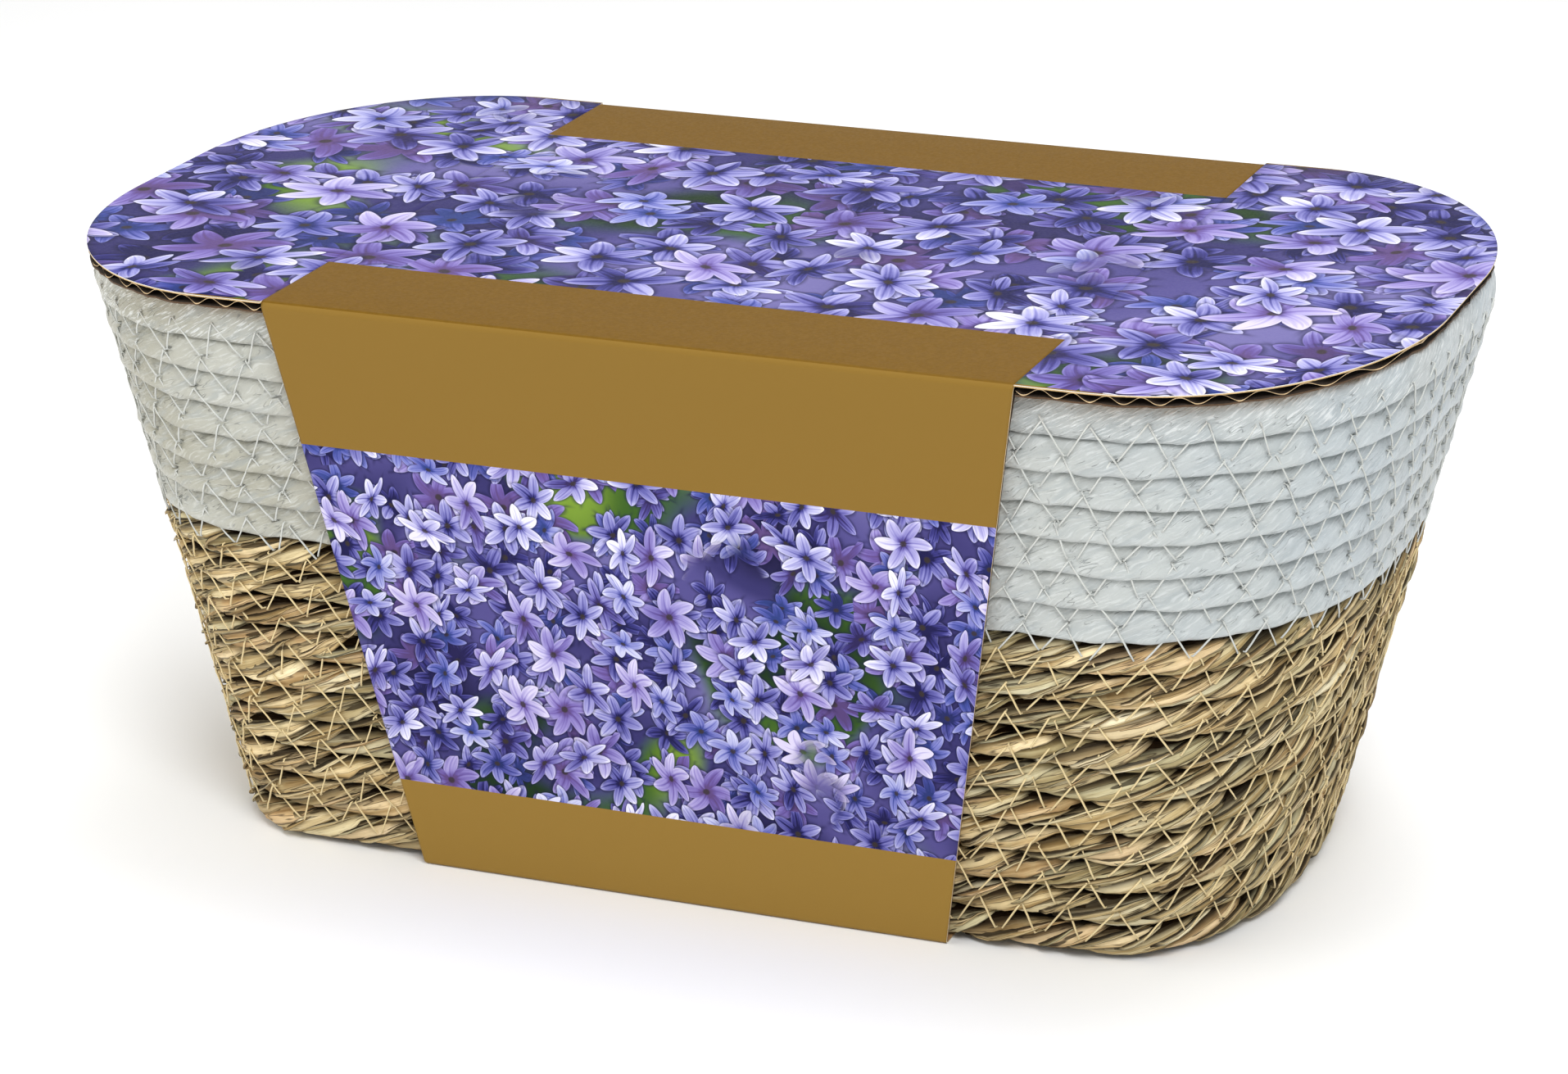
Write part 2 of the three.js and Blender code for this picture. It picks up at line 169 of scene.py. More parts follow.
def noise(x, y, seed=0):
    """Smooth noise from -1 to 1 with cells of size 1."""
    x, y = np.broadcast_arrays(x, y)
    i, j = np.floor(x).astype(np.int64), np.floor(y).astype(np.int64)
    u, v = x - i, y - j
    u, v = u * u * (3 - 2 * u), v * v * (3 - 2 * v)
    low = mix(lattice(seed, i, j), lattice(seed, i + 1, j), u)
    high = mix(lattice(seed, i, j + 1), lattice(seed, i + 1, j + 1), u)
    return mix(low, high, v)


# Meshes

OUTER, CUT = 1, 2


def link(name, data):
    """A new object in the scene."""
    made = bpy.data.objects.new(name, data)
    bpy.context.scene.collection.objects.link(made)
    return made


class Shape:
    """Collects closed tubes and grids, and makes one mesh object of them."""

    def __init__(self):
        self.points, self.loops, self.sizes, self.values = [], [], [], {}
        self.marks = []
        self.count = 0

    def _add(self, points, faces, values):
        points = np.asarray(points, float).reshape(-1, 3)
        for face in faces:
            self.loops.append((np.asarray(face) + self.count).ravel())
            self.sizes.append(np.full(len(face), face.shape[1]))
        for name, value in values.items():
            self.values.setdefault(name, []).append(np.broadcast_to(value, len(points)).astype(np.float32))
        self.points.append(points)
        self.count += len(points)

    def tubes(self, rings, closed=False, outside=0, **values):
        """rings is tubes x rings x sides x 3; each tube is closed on itself or capped at both ends.
        The first strips round the tube, as many as outside says, are marked as its outer face."""
        tubes, length, sides, _ = rings.shape
        number = np.arange(tubes * length * sides).reshape(tubes, length, sides)
        low = number if closed else number[:, :-1]
        high = np.roll(number, -1, 1) if closed else number[:, 1:]
        right, far = np.roll(low, -1, 2), np.roll(high, -1, 2)
        faces = [np.stack([low, high, far, right], -1).reshape(-1, 4)]
        strip = np.arange(sides)
        kinds = np.where(strip < outside, OUTER, np.where(np.isin(strip, (outside, sides - 1)), CUT, 0))
        marks = [np.broadcast_to(kinds if outside else 0, low.shape).ravel()]
        if not closed:
            faces += [number[:, 0], number[:, -1, ::-1]]
            marks.append(np.zeros(2 * tubes))
        self.marks += marks
        flat = {k: np.broadcast_to(v, rings.shape[:3]).ravel() for k, v in values.items()}
        self._add(rings, faces, flat)

    def slab(self, top, bottom, **values):
        """A closed sheet between two grids of points of the same shape; rows run anticlockwise to columns."""
        rows, columns, _ = top.shape
        upper = np.arange(rows * columns).reshape(rows, columns)
        lower = upper + rows * columns
        rim = np.concatenate([upper[0, :-1], upper[:-1, -1], upper[-1, :0:-1], upper[:0:-1, 0]])
        under = rim + rows * columns
        faces = [
            np.stack([upper[:-1, :-1], upper[:-1, 1:], upper[1:, 1:], upper[1:, :-1]], -1).reshape(-1, 4),
            np.stack([lower[:-1, :-1], lower[1:, :-1], lower[1:, 1:], lower[:-1, 1:]], -1).reshape(-1, 4),
            np.stack([rim, under, np.roll(under, -1), np.roll(rim, -1)], -1),
        ]
        flat = {k: np.tile(np.broadcast_to(v, (rows, columns)).ravel(), 2) for k, v in values.items()}
        self._add(np.concatenate([top.reshape(-1, 3), bottom.reshape(-1, 3)]), faces, flat)
        self.marks.append(np.repeat([OUTER, 0, CUT], [len(f) for f in faces]))

    def make(self, name, material, slot, nodes=()):
        """The mesh object of all that was added; it replaces the named nodes."""
        mesh = bpy.data.meshes.new(name)
        points, loops = np.concatenate(self.points) * MM, np.concatenate(self.loops)
        sizes = np.concatenate(self.sizes)
        mesh.vertices.add(len(points))
        mesh.vertices.foreach_set("co", points.ravel())
        mesh.loops.add(len(loops))
        mesh.loops.foreach_set("vertex_index", loops.astype(np.int32))
        mesh.polygons.add(len(sizes))
        mesh.polygons.foreach_set("loop_start", (np.cumsum(sizes) - sizes).astype(np.int32))
        mesh.update(calc_edges=True)
        mesh.polygons.foreach_set("use_smooth", np.full(len(sizes), True))
        for key, value in self.values.items():
            mesh.attributes.new(key, "FLOAT", "POINT").data.foreach_set("value", np.concatenate(value))
        marks = np.concatenate(self.marks)
        for key, kind in (("outside", OUTER), ("cut", CUT)):
            if marks.any():
                values = (marks == kind).astype(np.float32)
                mesh.attributes.new(key, "FLOAT", "FACE").data.foreach_set("value", values)
        mesh.materials.append(material)
        piece = link(name, mesh)
        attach(piece, "root")
        if nodes:
            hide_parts(*nodes)
        return piece


NEARLY_UP = [0.02, 0.03, 1.0]


def sweep(path, radius, sides):
    """Rings of a round tube along a closed path of points, as one tube."""
    ahead = np.roll(path, -1, 0) - np.roll(path, 1, 0)
    ahead /= np.linalg.norm(ahead, axis=1)[:, None]
    side = np.cross(ahead, NEARLY_UP)
    side /= np.linalg.norm(side, axis=1)[:, None]
    up = np.cross(side, ahead)
    turn = np.arange(sides) * 2 * math.pi / sides
    ring = side[:, None] * np.cos(turn)[:, None] + up[:, None] * np.sin(turn)[:, None]
    return (path[:, None] + ring * radius)[None]


def clear_of_card(points, spare=0.22):
    """Keeps what lies under the card panels from coming through them."""
    beside, no_limit = 1.5, 1e3
    z = np.clip(points[..., 2], 0, HEIGHT)
    hidden = np.abs(points[..., 0]) < mix(PANEL_HALF_FOOT, PANEL_HALF_TOP, z / HEIGHT) + beside
    limit = np.where(hidden, wall_depth(z) + spare, no_limit)
    points[..., 1] = np.clip(points[..., 1], -limit, limit)
    points[..., 2] = np.clip(points[..., 2], FLOOR_Z - 0.2, None)
    return points


# Materials: a small way to write node trees as sums


class Value:
    """An output socket that can be added, multiplied and so on."""

    def __init__(self, net, socket):
        self.net, self.socket = net, socket

    def __add__(self, other):
        return self.net.math("ADD", self, other)

    def __sub__(self, other):
        return self.net.math("SUBTRACT", self, other)

    def __rsub__(self, other):
        return self.net.math("SUBTRACT", other, self)

    def __mul__(self, other):
        return self.net.math("MULTIPLY", self, other)

    def __truediv__(self, other):
        return self.net.math("DIVIDE", self, other)

    __radd__, __rmul__ = __add__, __mul__


class Net:
    """The node tree of one material."""

    def __init__(self, name):
        self.material = bpy.data.materials.new(name)
        self.material.use_nodes = True
        self.tree = self.material.node_tree
        self.shader = self.tree.nodes["Principled BSDF"]

    def node(self, kind, inputs=(), **settings):
        made = self.tree.nodes.new(kind)
        for key, value in settings.items():
            setattr(made, key, value)
        for key, value in dict(inputs).items():
            self.put(made.inputs[key], value)
        return made

    def put(self, socket, value):
        if isinstance(value, Value):
            self.tree.links.new(value.socket, socket)
        elif isinstance(value, tuple) and len(value) == 3 and socket.type == "RGBA":
            socket.default_value = (*value, 1)
        else:
            socket.default_value = value

    def out(self, made, key=0):
        return Value(self, made.outputs[key])

    def math(self, operation, a, b=0.0):
        return self.out(self.node("ShaderNodeMath", {0: a, 1: b}, operation=operation))

    def vector(self, operation, a, b):
        return self.out(self.node("ShaderNodeVectorMath", {0: a, 1: b}, operation=operation))

    def combine(self, x, y, z=0.0):
        return self.out(self.node("ShaderNodeCombineXYZ", {0: x, 1: y, 2: z}))

    def split(self, vector):
        made = self.node("ShaderNodeSeparateXYZ", {0: vector})
        return [self.out(made, k) for k in range(3)]

    def attribute(self, name):
        return self.out(self.node("ShaderNodeAttribute", attribute_name=name), "Fac")

    def place(self):
        """Position on the object, in millimetres."""
        coordinates = self.out(self.node("ShaderNodeTexCoord"), "Object")
        made = self.node("ShaderNodeVectorMath", {0: coordinates, "Scale": 1 / MM}, operation="SCALE")
        return self.out(made)

    def noise(self, vector, scale=1.0, detail=2.0, rough=0.5, key="Fac"):
        inputs = {"Vector": vector, "Scale": scale, "Detail": detail, "Roughness": rough}
        return self.out(self.node("ShaderNodeTexNoise", inputs), key)

    def lot(self, number):
        """A random value from 0 to 1 for each number."""
        return self.out(self.node("ShaderNodeTexWhiteNoise", {"W": number}, noise_dimensions="1D"), "Value")

    def ramp(self, factor, stops, smoothly=False):
        made = self.node("ShaderNodeValToRGB", {0: factor})
        made.color_ramp.interpolation = "EASE" if smoothly else "LINEAR"
        elements = made.color_ramp.elements
        while len(elements) < len(stops):
            elements.new(0.5)
        for element, (position, colour) in zip(elements, stops):
            element.position = position
            element.color = (*colour, 1)
        return self.out(made)

    def map(self, value, low, high, to_low=0.0, to_high=1.0, smoothly=True):
        """From to_low to to_high as the value goes from low to high."""
        kind = "SMOOTHSTEP" if smoothly else "LINEAR"
        inputs = {0: value, 1: low, 2: high, 3: to_low, 4: to_high}
        return self.out(self.node("ShaderNodeMapRange", inputs, interpolation_type=kind))

    def blend(self, factor, a, b, kind="MIX"):
        made = self.node("ShaderNodeMix", data_type="RGBA", blend_type=kind)
        for socket, value in ((made.inputs[0], factor), (made.inputs[6], a), (made.inputs[7], b)):
            self.put(socket, value)
        return Value(self, made.outputs[2])

    def finish(self, colour, roughness, bump=None, height=0.1, strength=1.0, **constants):
        """Links the shader; height is the bump's depth in millimetres."""
        self.put(self.shader.inputs["Base Color"], colour)
        self.put(self.shader.inputs["Roughness"], roughness)
        if bump is not None:
            inputs = {"Height": bump, "Distance": height * MM, "Strength": strength}
            self.put(self.shader.inputs["Normal"], self.out(self.node("ShaderNodeBump", inputs)))
        for key, value in constants.items():
            self.shader.inputs[key.replace("_", " ")].default_value = value
        return self.material


def rgb(red, green, blue):
    """A colour given as on a screen, as the shader wants it."""
    return tuple(((c / 255 + 0.055) / 1.055) ** 2.4 if c > 10 else c / 3295 for c in (red, green, blue))


def natural_material():
    """Seagrass: each strand has its own tone, with veins along it; painted shade darkens it where it tucks under
    the next, along its edges, at its ends in the groove between rows and in thin slits along it.
    """
    net = Net("natural_seagrass")
    strand, along, across, ends = (net.attribute(k) for k in ("strand", "along", "across", "end"))
    offset = strand * 517.0
    fibre = net.noise(net.combine(along * 0.045, across * 2.0 + offset, offset))
    hair = net.noise(net.combine(along * 0.1, across * 6.5 + offset, offset))
    blotch = net.noise(net.place(), 0.13, detail=4, rough=0.6)
    base = net.ramp(strand, [
        (0.0, rgb(132, 115, 84)), (0.12, rgb(168, 152, 116)), (0.27, rgb(190, 174, 138)),
        (0.42, rgb(150, 145, 116)), (0.56, rgb(198, 185, 151)), (0.7, rgb(178, 156, 122)),
        (0.84, rgb(162, 158, 132)), (1.0, rgb(204, 194, 166)),
    ])
    streak = net.ramp(fibre, [
        (0.3, rgb(156, 138, 104)), (0.43, rgb(210, 196, 170)), (0.56, rgb(242, 236, 222)),
        (0.7, rgb(255, 252, 244)),
    ])
    colour = net.blend(1.0, base, streak, "MULTIPLY")
    patch = net.map(blotch, 0.5, 0.72)
    colour = net.blend(patch * 0.5, colour, rgb(140, 128, 92))
    vein = net.map(net.math("ABSOLUTE", fibre - 0.5), 0.0, 0.02)
    thin = net.map(net.math("ABSOLUTE", hair - 0.5), 0.0, 0.03)
    colour = net.blend(thin * -0.3 + 0.3, colour, rgb(96, 76, 48))
    colour = net.blend(vein * -0.75 + 0.75, colour, rgb(54, 40, 24))
    # Painted shade from here on: thin dark slits stand for crevices between strands, and each strand darkens
    # where it tucks under the next, along its edges and at its ends in the groove between rows.
    slit_shade = net.noise(net.combine(along * 0.11, across * 2.6 + offset, offset + 9.0), detail=1, rough=0.4)
    slit_shade = net.map(slit_shade, 0.335, 0.305)
    tucked = net.map(across, -0.4, 0.3)
    edge = net.map(net.math("ABSOLUTE", across), 0.86, 1.0)
    shade = net.math("MAXIMUM", net.math("MAXIMUM", tucked * 0.93, edge * 0.7), net.map(ends, 0.62, 0.92) * 0.95)
    shade = net.math("MAXIMUM", shade, slit_shade * 0.85)
    colour = net.blend(1.0, colour, (1.72, 1.74, 1.84), "MULTIPLY")
    # The near-black rgb(24, 12, 2) is the colour of the painted shade.
    colour = net.blend(shade, colour, rgb(24, 12, 2))
    relief = fibre + hair * 0.4 + vein * 0.5 + thin * 0.12 - slit_shade * 0.5
    rough = net.map(fibre, 0.3, 0.7, 0.72, 0.5)
    rough = net.math("MAXIMUM", rough, shade)
    return net.finish(colour, rough, relief, 0.24, 1.0, Specular_IOR_Level=0.2)


def core_material():
    """The inside of the rope that shows in the crevices between strands, coloured near black as painted shade.
    """
    net = Net("natural_rope_core")
    streak = net.noise(net.combine(net.attribute("along") * 0.12, net.attribute("across") * 9.0), detail=3)
    colour = net.ramp(streak, [(0.3, rgb(12, 6, 2)), (0.55, rgb(32, 20, 8)), (0.75, rgb(70, 52, 26))])
    return net.finish(colour, net.map(streak, 0.3, 0.7, 0.95, 0.85), streak, 0.3, Specular_IOR_Level=0.05)


def white_material():
    """Paper: silky strokes along its lay, creases, and slits where stitches pull it in; the strokes are painted
    shade and highlight, creases and slits hold painted shade, and painted light leaves it darker and warmer to
    the left, cooler and lighter to the right.
    """
    net = Net("white_paper_rope")
    along, across, side, phase = (net.attribute(k) for k in ("along", "across", "side", "phase"))
    rim = net.math("GREATER_THAN", side, (WHITE_ROWS - 1.5) * ROW_SEED)
    warp = (net.noise(net.combine(along * 0.12, across * 0.3, side), detail=1) - 0.5) * (rim * -1.9 + 2.5)
    with_lay = along * 0.9 + across * 0.43
    over_lay = across * 0.9 - along * 0.43 + warp
    silk = net.noise(net.combine(with_lay * 0.11, over_lay * 0.7, side))
    fine = net.noise(net.combine(with_lay * 0.3, over_lay * 2.6, side), detail=3, rough=0.6)
    crumple = net.noise(net.combine(along * 0.3, across * 0.42, side), detail=4, rough=0.55)
    tone = net.noise(net.place(), 0.03, detail=3)
    # Painted light: the base colour runs from darker and warmer at the left end to cooler and lighter at the
    # right, as the light falls on it.
    x, _, _ = net.split(net.place())
    base = net.ramp(net.map(x + (tone - 0.5) * 50, -130, 140, smoothly=False), [
        (0.0, rgb(154, 152, 136)), (0.35, rgb(170, 169, 160)), (0.8, rgb(171, 175, 174)),
        (1.0, rgb(177, 186, 191)),
    ])
    base = net.blend(net.map(tone, 0.35, 0.65) * 0.5, base, rgb(182, 184, 178))
    # Painted shade and highlight of the folds along the lay: broad silky streaks darken the paper, thin ones
    # lighten it, most on the rim.
    colour = net.blend(net.map(silk, 0.3, 0.52) * -0.4 + 0.4, base, rgb(144, 152, 155))
    colour = net.blend(net.map(fine, 0.5, 0.66) * (rim * 0.4 + 0.28), colour, rgb(224, 227, 226))
    # Painted shade: thin dark lines in the creases, where the paper is crumpled.
    crease = net.map(net.math("ABSOLUTE", silk - 0.5), 0.0, 0.013)
    some = net.map(crumple, 0.48, 0.62)
    colour = net.blend((crease * -0.6 + 0.6) * some, colour, rgb(104, 110, 112))
    # Painted shade in the slits where the stitches pull the paper in, next to some of the stitch feet.
    foot = (net.math("FRACT", phase + 0.5) - 0.5) * STITCH
    number = net.math("FLOOR", phase + 0.5)
    lot = net.lot(number + side * 3.1)
    level = (across - 0.1 - foot * 0.32) / 0.2
    wide = foot / (lot * 0.8 + 0.4)
    hole_shade = net.map(net.math("SQRT", level * level + wide * wide), 1.3, 0.55) * net.map(lot, 0.45, 0.6)
    colour = net.blend(hole_shade * 0.7, colour, rgb(78, 82, 80))
    relief = silk + fine * (rim * 0.5 + 0.34) + crumple * 1.2 + (1 - (1 - crease) * some) * 0.25 - hole_shade * 0.6
    rough = net.map(fine, 0.3, 0.7, 0.28, 0.46)
    return net.finish(colour, rough, relief, 0.5, 0.9, Specular_IOR_Level=0.45, Sheen_Weight=0.03)


def thread_material(name, light, deep):
    """Twisted thread: light on its plies and deep between them, the deep tone standing as painted shade between
    the plies.
    """
    net = Net(name)
    ply = net.attribute("along") * 2.6 + net.attribute("turn") * 1.0
    twist = net.math("ABSOLUTE", net.math("FRACT", ply) - 0.5) * 2
    tone = net.noise(net.place(), 0.25, detail=3)
    # Painted shade: the thread darkens between its plies; the noise patches of the deep tone vary its tone at
    # random.
    colour = net.blend(net.map(twist, 0.0, 0.5), deep, light)
    colour = net.blend(net.map(tone, 0.4, 0.7) * 0.35, colour, deep)
    return net.finish(colour, net.map(tone, 0.3, 0.7, 0.5, 0.65), twist, 0.04, Sheen_Weight=0.1)


# Natural rope: flat strands that wind round a core painted dark as shade, row by row


CORE_SIDES = 8


def core_tubes(shape, rope, columns, grow, seed):
    """One closed, slightly uneven tube for the inside of a row, painted dark as shade."""
    s = np.arange(columns)[:, None] * rope.length / columns
    angle = np.arange(CORE_SIDES)[None] * 2 * math.pi / CORE_SIDES
    bulge = grow * (1 + 0.03 * noise(s / 9, angle * 1.5, seed))
    rings = rope.at(*np.broadcast_arrays(s, angle), bulge)
    shape.tubes(clear_of_card(rings)[None], closed=True, along=s[None], across=(angle * 3)[None])


# Places across a strand: from edge to edge over the face that shows, and back along its underside
LEAF = np.array([-1, -0.88, -0.66, -0.4, -0.14, 0.14, 0.42, 0.7, 1, 0.5, -0.5])
SPLINTER = np.array([-1, -0.4, 0.4, 1, 0])


def strands(shape, rope, steps, spacing, reach, width, height, seed, section=LEAF, turn=84, spread=0.0):
    """Flat strands that rise to the right across the side of the rope that shows."""
    count = int(rope.length / spacing)
    gaps = random.uniform(0.65, 1.35, count)
    start = np.cumsum(gaps) / gaps.sum() * rope.length
    under = 2 if len(section) > 6 else 1

    def vary(low, high):
        return random.uniform(low, high, count)[:, None, None]

    p = np.linspace(-1, 1, steps)[None, :, None]
    q = section[None, None, :]
    own = 31 * start[:, None, None]
    run, wide = vary(*reach), vary(*width)
    tilt, crown, layer = vary(-1.1, -0.5), vary(0.35, 0.75), vary(0.0, 0.3)
    turn = math.radians(turn)
    middle = vary(-spread, spread)
    arc = turn * ROPE_RADIUS
    size = np.hypot(run / 2, arc)
    taper = 0.03 + 0.97 * (1 - np.abs(p + vary(-0.15, 0.15) * (1 - p * p)) ** vary(1.8, 3.2))
    wander = noise(p * 1.6 + own, 0.5, seed) * 0.4
    fray = noise(p * 4.6 + own, np.sign(q) * 3.3, seed + 1) * 0.3 * np.abs(q) ** 3
    offset = q * wide / 2 * np.abs(taper) * (1 + fray) + wander
    s = start[:, None, None] + p * run / 2 - offset * arc / size
    angle = middle + p * turn + offset * (run / 2) / size / ROPE_RADIUS
    folds = noise(q * 2.6 + own, p * 1.1, seed + 2) * 0.2 + noise(q * 5.2 + own, p * 1.3, seed + 3) * 0.13
    rise = height + layer + crown * (1 - q * q) + tilt * q + folds * (wide > 3) - 1.1 * np.abs(p) ** 4
    rise[:, :, -under:] = (height - 0.7) if under == 2 else height - 0.3
    grow = (1 + rise / rope.half_depth) * squared(angle, 2.4)
    rings = clear_of_card(rope.at(s, angle, grow))
    shape.tubes(rings, along=p * size, across=q, end=np.abs(p), strand=vary(0, 1))


WALL_ROPES = [wall_rope(FLOOR_Z + row * ROW_HEIGHT, ROW_HEIGHT, 0.34) for row in range(NATURAL_ROWS)]
WHITE_ROPES = [wall_rope(COLOUR_Z + row * ROW_HEIGHT, ROW_HEIGHT) for row in range(WHITE_ROWS - 1)]
WHITE_ROPES.append(wall_rope(RIM_Z - RIM_ROW_HEIGHT, RIM_ROW_HEIGHT - 0.1))

BASE_TURNS = 8


def base_rope(turn):
    """A turn of the coiled base, counted inwards from the one under the wall's lowest row."""
    inset = 1.5
    edge = [size - inset for size in PLAN_FOOT]
    line = edge[0] - edge[1]
    pitch = edge[1] / BASE_TURNS
    t = 1 - (turn + 0.5) / BASE_TURNS
    plan = [mix(line, edge[0], t), edge[1] * t, edge[2] * t, edge[3] * t]
    return Rope(plan, FLOOR_Z + ROPE / 2, ROPE / 2, pitch / 2 + 0.1, underside=True)


BASE_ROPES = [base_rope(turn) for turn in range(BASE_TURNS)]
STITCH = 9.2


def lay_stitches(low, high, count=0, shift=None):
    """Where a thread enters the ropes: head, foot, next foot and next head, as parts of the way round and
    as angles on the rope."""
    drift = random.uniform(0, 1)
    count = count or int(round((low.length + high.length) / 2 / STITCH))
    first = np.arange(count) + (drift if shift is None else shift + 0.1 * drift)
    sway = random.uniform(-1, 1, (8, count))
    spots = [(first + share + 0.08 * sway[k]) / count for k, share in enumerate((0.0, 0.47, 0.57, 0.97))]
    angles = [level + 0.2 * sway[4 + k] for k, level in enumerate((-0.06, 0.06, 0.06, -0.06))]
    return np.array(spots), np.array(angles)


ROWS = WALL_ROPES + WHITE_ROPES
WHITE_STITCHES = 80
STITCHES = [
    lay_stitches(low, high) if row < NATURAL_ROWS else lay_stitches(low, high, WHITE_STITCHES, -0.5 * row)
    for row, (low, high) in enumerate(zip(ROWS, ROWS[1:]))
]


def natural_rope():
    core, lower, upper, base = Shape(), Shape(), Shape(), Shape()
    for row, rope in enumerate(WALL_ROPES):
        shape = lower if row < 5 else upper
        core_tubes(core, rope, 160, 0.84, row)
        strands(shape, rope, 12, 8.7, (25, 37), (4.8, 7.4), -0.9, 100 + row, turn=80)
        strands(shape, rope, 8, 7.5, (9, 22), (0.5, 1.4), -0.1, 200 + row, SPLINTER, 48, 0.5)
    for turn, rope in enumerate(BASE_ROPES):
        core_tubes(core, rope, 100, 0.86, 50 + turn)
        strands(base, rope, 9, 8.6, (22, 32), (4.8, 7.4), -0.9, 300 + turn)
    material = natural_material()
    nodes = ["basket_natural_rope"]
    core.make("natural_rope_core", core_material(), "natural_rope", nodes)
    for shape, part in ((lower, "lower_rows"), (upper, "upper_rows"), (base, "base")):
        shape.make(f"natural_rope_{part}", material, "natural_rope", nodes)


# White rope: creased paper, pinched where the stitches pull it in


def spread_out(spots, length):
    """Distances along of spots given as parts of the way round, with the next one past either end."""
    spots = np.sort(np.mod(spots, 1)) * length
    return np.concatenate([spots[-1:] - length, spots, spots[:1] + length])


def nearest(s, spots, length):
    """Distance along from the nearest spot."""
    ring = spread_out(spots, length)
    at = np.clip(np.searchsorted(ring, s), 1, len(ring) - 1)
    return np.minimum(s - ring[at - 1], ring[at] - s)


WHITE_COLUMNS, ROW_SEED = 800, 7.7


def white_rope():
    lower, upper = Shape(), Shape()
    face = np.array([0.0, 0.22, 0.44, 0.62, 0.76, 0.9, 1.08, 1.3, 1.55, 1.9])
    angles = np.concatenate([-face[:0:-1], face, [2.5, math.pi, 3.78]])
    for row, rope in enumerate(WHITE_ROPES):
        rim = row == WHITE_ROWS - 1
        s, angle = np.meshgrid(np.arange(WHITE_COLUMNS) * rope.length / WHITE_COLUMNS, angles, indexing="ij")
        across = angle * ROPE_RADIUS
        (head, _, _, next_head), _ = STITCHES[NATURAL_ROWS + row - 1]
        pulls = [(head, -0.06), (next_head, -0.06)]
        phase = np.zeros_like(s)
        if not rim:
            (_, foot, next_foot, _), _ = STITCHES[NATURAL_ROWS + row]
            pulls += [(foot, 0.06), (next_foot, 0.06)]
            ring = spread_out((foot + next_foot) / 2, rope.length)
            phase = np.interp(s, ring, np.arange(-1, len(ring) - 1))
        pinch = 0
        for spots, level in pulls:
            away = nearest(s, spots, rope.length)
            pinch = pinch + 0.06 * np.exp(-((away / 0.9) ** 2) - ((angle - level) / 0.26) ** 2)
            pinch = pinch + 0.008 * np.exp(-((away / 2.4) ** 2))
        with_lay, over_lay = s * 0.9 + across * 0.43, across * 0.9 - s * 0.43
        folds = noise(over_lay / 1.9, with_lay / 12, row) * 0.2
        folds = folds + noise(over_lay / 1.0, with_lay / 7, row + 20) * 0.1
        if rim:
            folds = folds + noise(over_lay / 3.4, with_lay / 22, 90) * 0.3
        lumps = noise(s / 6, across / 3.5, row + 40) * 0.15
        ends = smooth(70, 125, np.abs(lookup(rope.table, s / rope.length)[0]))
        power = mix(3.2 if rim else 8.0, 3.6, ends)
        grow = squared(angle, power) * (1 + (folds + lumps) / rope.half_depth - pinch)
        lean = mix(-0.2, -0.5, ends) * np.sin(angle) * smooth(-0.3, 0.4, np.cos(angle))
        lift = noise(s[:, :1] / 35, 0.5, row + 60) * 0.15
        rings = clear_of_card(rope.at(s, angle, grow, 0 if rim else lift, lean * (0.3 if rim else 1)))
        rings[..., 2] = np.minimum(rings[..., 2], RIM_Z)
        shape = upper if row > 3 else lower
        values = {"along": s[None], "across": across[None], "side": row * ROW_SEED, "phase": phase[None]}
        shape.tubes(rings[None], closed=True, **values)
    material = white_material()
    for shape, part in ((lower, "lower_rows"), (upper, "upper_rows")):
        shape.make(f"white_rope_{part}", material, "white_rope", ["basket_white_rope"])


# Sewing thread: a zigzag over each join of two rows


THREAD_SIDES = 4


def zigzag(shape, low, high, stitches, radius=0.21, proud=0.2, sunk=0.0):
    """One thread: down to the lower rope, up to the upper one, and through the ropes in between."""
    (head, foot, next_foot, next_head), angles = stitches
    t = np.array([0, 0.025, 0.25, 0.5, 0.75, 0.975, 1.0])[None, :, None]
    depth = np.array([-0.9, 0.05, 0.2, 0.1, 0.2, 0.05, -0.9])[None, :, None] + radius + proud
    legs = []
    for start, end, ropes, (a, b), deeper in (
        (head, foot, (high, low), angles[:2], 0.0), (next_foot, next_head, (low, high), angles[2:], sunk),
    ):
        first = ropes[0].at(start * ropes[0].length, a, 1.0)[:, None]
        last = ropes[1].at(end * ropes[1].length, b, 1.0)[:, None]
        middle = (start + end) / 2 * low.length
        outward = (low.at(middle, 0 * a, 1.0) - low.at(middle, 0 * a, 0.5))[:, None]
        outward /= np.linalg.norm(outward, axis=-1, keepdims=True)
        legs.append(first + (last - first) * t + outward * (depth - deeper))
    path = clear_of_card(np.concatenate(legs, 1).reshape(-1, 3), 0.2)
    along = np.concatenate([[0], np.cumsum(np.linalg.norm(np.diff(path, axis=0), axis=1))])
    turn = np.arange(THREAD_SIDES) / THREAD_SIDES
    rings = sweep(path, radius, THREAD_SIDES)
    shape.tubes(rings, closed=True, along=along[None, :, None], turn=turn[None, None, :])


def sewing():
    straw, white = Shape(), Shape()
    colour_join = NATURAL_ROWS - 1
    for number, (low, high, stitches) in enumerate(zip(ROWS, ROWS[1:], STITCHES)):
        if number < colour_join:
            zigzag(straw, low, high, stitches)
        else:
            zigzag(white, low, high, stitches, 0.2, 0.14 if number == colour_join else 0.03, 0.05)
    for high, low in zip(BASE_ROPES, BASE_ROPES[1:]):
        zigzag(straw, low, high, lay_stitches(low, high))
    gold = thread_material("straw_thread", rgb(232, 212, 162), rgb(206, 182, 130))
    straw.make("natural_sewing_thread", gold, "natural_rope")
    pale = thread_material("white_thread", rgb(207, 209, 204), rgb(190, 192, 187))
    white.make("white_sewing_thread", pale, "white_rope")


# Card: print sheet, liners and the wavy medium between them


